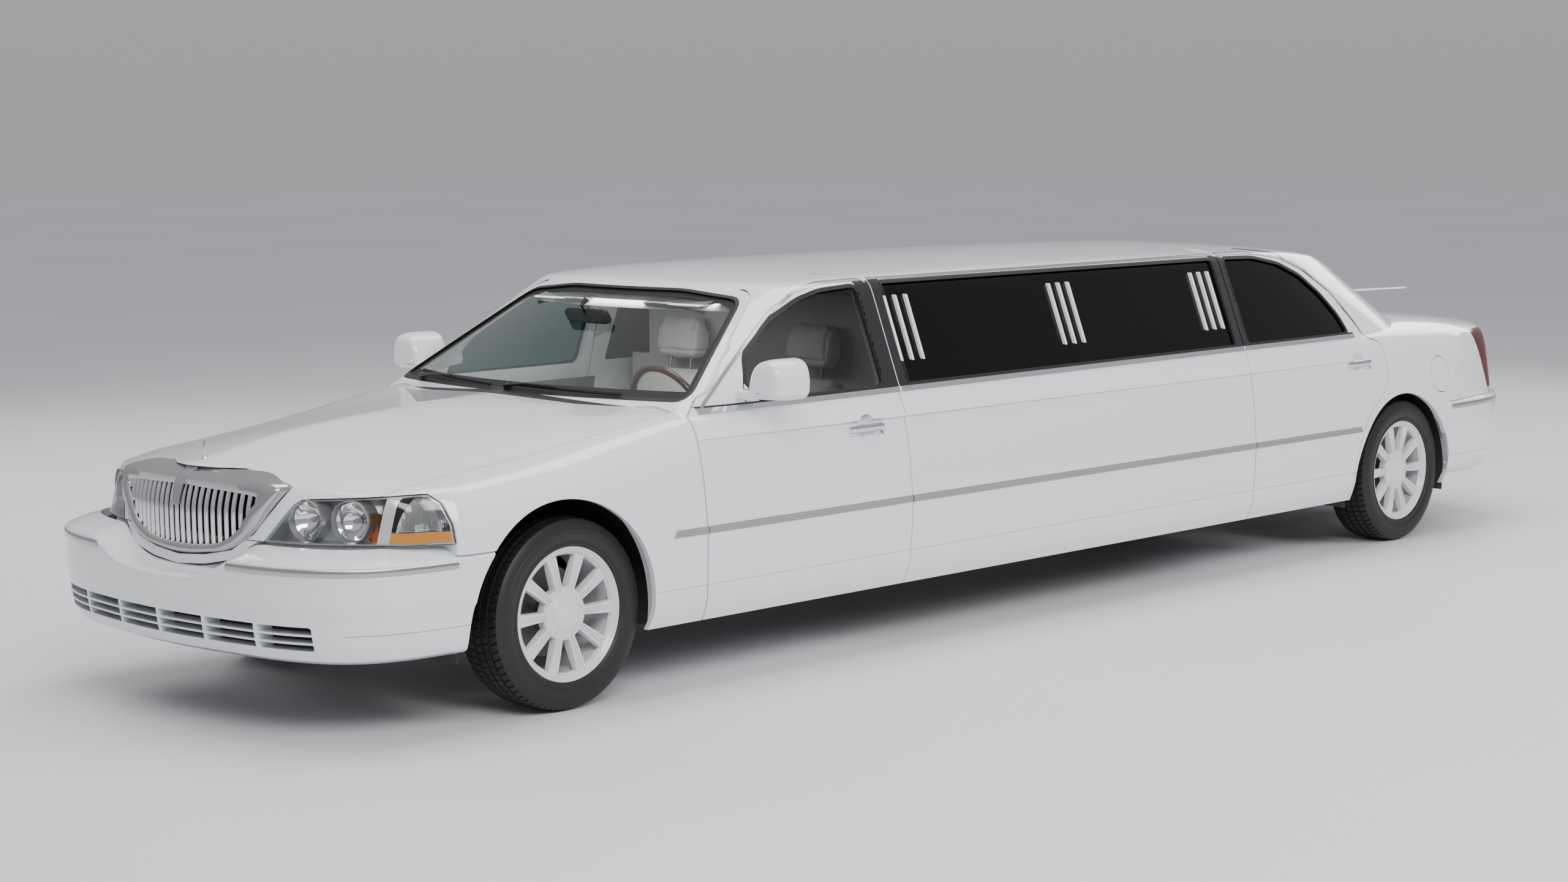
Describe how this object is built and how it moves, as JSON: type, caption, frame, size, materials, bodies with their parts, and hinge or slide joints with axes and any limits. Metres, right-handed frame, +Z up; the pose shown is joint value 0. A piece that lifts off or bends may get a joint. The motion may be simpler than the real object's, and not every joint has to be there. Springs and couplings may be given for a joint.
{
  "type": "stretch limousine",
  "caption": "White stretch limousine with a hollow cabin, opening doors, hood and trunk lid, and steered, turning wheels.",
  "frame": {"origin": "on the ground under the middle of the car's length and width", "axes": "+Z up, -Y towards the front, +X towards the car's left side"},
  "size_m": [2.3, 8.0108, 1.5249],
  "materials": {
    "white_paint": "gloss",
    "satin_trim": "satin",
    "black_plastic": "matte",
    "dark_steel": "satin",
    "cast_metal": "rough",
    "tinted_glass": "gloss",
    "privacy_glass": "gloss",
    "clear_glass": "gloss",
    "lamp_lens": "gloss",
    "red_lens": "gloss",
    "white_alloy": "satin",
    "tyre_rubber": "matte",
    "dash_plastic": "matte",
    "wheel_rim": "satin",
    "grey_leather": "satin"
  },
  "bodies": {
    "body": {"roof": "white_paint", "fender_left": "white_paint", "fender_right": "white_paint", "body_side_left": "white_paint", "body_side_right": "white_paint", "cowl": "black_plastic", "side_glass": "privacy_glass", "windscreen": "clear_glass", "rear_window": "privacy_glass", "front_bumper": "white_paint", "rear_bumper": "white_paint", "headlamps": "lamp_lens", "tail_lamps": "red_lens", "grille": "satin_trim", "frame": "dark_steel", "floor_pan": "dark_steel", "firewall": "dark_steel", "engine": "cast_metal", "front_suspension": "dark_steel", "rear_axle": "dark_steel", "dashboard": "dash_plastic", "front_seats": "grey_leather", "partition": "dash_plastic", "lounge_seats": "grey_leather", "exhaust": "dark_steel", "fuel_tank": "dark_steel"},
    "hood": {"hood": "white_paint"},
    "trunk_lid": {"trunk_lid": "white_paint"},
    "fuel_flap": {"fuel_flap": "white_paint"},
    "steering_wheel": {"steering_wheel": "wheel_rim"},
    "door_front_left": {"door_front_left": "white_paint", "door_glass_front_left": "tinted_glass"},
    "wheel_front_left": {"wheel_front_left": "white_alloy", "tyre_front_left": "tyre_rubber"},
    "door_rear_left": {"door_rear_left": "white_paint", "door_glass_rear_left": "privacy_glass"},
    "wheel_rear_left": {"wheel_rear_left": "white_alloy", "tyre_rear_left": "tyre_rubber"},
    "knuckle_left": {"knuckle_left": "cast_metal"},
    "door_front_right": {"door_front_right": "white_paint", "door_glass_front_right": "tinted_glass"},
    "wheel_front_right": {"wheel_front_right": "white_alloy", "tyre_front_right": "tyre_rubber"},
    "door_rear_right": {"door_rear_right": "white_paint", "door_glass_rear_right": "privacy_glass"},
    "wheel_rear_right": {"wheel_rear_right": "white_alloy", "tyre_rear_right": "tyre_rubber"},
    "knuckle_right": {"knuckle_right": "cast_metal"}
  },
  "joints": [
    {"name": "hood_hinge", "type": "hinge", "parent": "body", "child": "hood", "pos_m": [0, -2.2765, 1.038], "axis": [-1, 0, 0], "range_deg": [0, 50]},
    {"name": "trunk_hinge", "type": "hinge", "parent": "body", "child": "trunk_lid", "pos_m": [0, 3.0745, 1.074], "axis": [1, 0, 0], "range_deg": [0, 70]},
    {"name": "fuel_flap_hinge", "type": "hinge", "parent": "body", "child": "fuel_flap", "pos_m": [0.962, 2.8925, 0.812], "axis": [0.184, 0, -0.9829], "range_deg": [0, 85]},
    {"name": "door_front_left_hinge", "type": "hinge", "parent": "body", "child": "door_front_left", "pos_m": [0.992, -2.2595, 0.6], "axis": [0, 0, -1], "range_deg": [0, 62]},
    {"name": "door_rear_left_hinge", "type": "hinge", "parent": "body", "child": "door_rear_left", "pos_m": [0.992, 1.3145, 0.6], "axis": [0, 0, -1], "range_deg": [0, 62]},
    {"name": "steer_left", "type": "hinge", "parent": "body", "child": "knuckle_left", "pos_m": [0.69, -2.8655, 0.3515], "axis": [0, 0, 1], "range_deg": [-33, 33]},
    {"name": "wheel_front_left_spin", "type": "hinge", "parent": "knuckle_left", "child": "wheel_front_left", "pos_m": [0.805, -2.8655, 0.3515], "axis": [1, 0, 0], "continuous": true},
    {"name": "wheel_rear_left_spin", "type": "hinge", "parent": "body", "child": "wheel_rear_left", "pos_m": [0.833, 2.6635, 0.3515], "axis": [1, 0, 0], "continuous": true},
    {"name": "door_front_right_hinge", "type": "hinge", "parent": "body", "child": "door_front_right", "pos_m": [-0.992, -2.2595, 0.6], "axis": [0, 0, 1], "range_deg": [0, 62]},
    {"name": "door_rear_right_hinge", "type": "hinge", "parent": "body", "child": "door_rear_right", "pos_m": [-0.992, 1.3145, 0.6], "axis": [0, 0, 1], "range_deg": [0, 62]},
    {"name": "steer_right", "type": "hinge", "parent": "body", "child": "knuckle_right", "pos_m": [-0.69, -2.8655, 0.3515], "axis": [0, 0, 1], "range_deg": [-33, 33]},
    {"name": "wheel_front_right_spin", "type": "hinge", "parent": "knuckle_right", "child": "wheel_front_right", "pos_m": [-0.805, -2.8655, 0.3515], "axis": [1, 0, 0], "continuous": true},
    {"name": "wheel_rear_right_spin", "type": "hinge", "parent": "body", "child": "wheel_rear_right", "pos_m": [-0.833, 2.6635, 0.3515], "axis": [1, 0, 0], "continuous": true},
    {"name": "steering_wheel_turn", "type": "hinge", "parent": "body", "child": "steering_wheel", "pos_m": [0.385, -1.9605, 0.925], "axis": [0, 0.9272, 0.3746], "range_deg": [-500, 500]}
  ],
  "couplings": [
    {"joint": "steer_right", "follows": "steer_left", "ratio": 1},
    {"joint": "steering_wheel_turn", "follows": "steer_left", "ratio": 15}
  ]
}
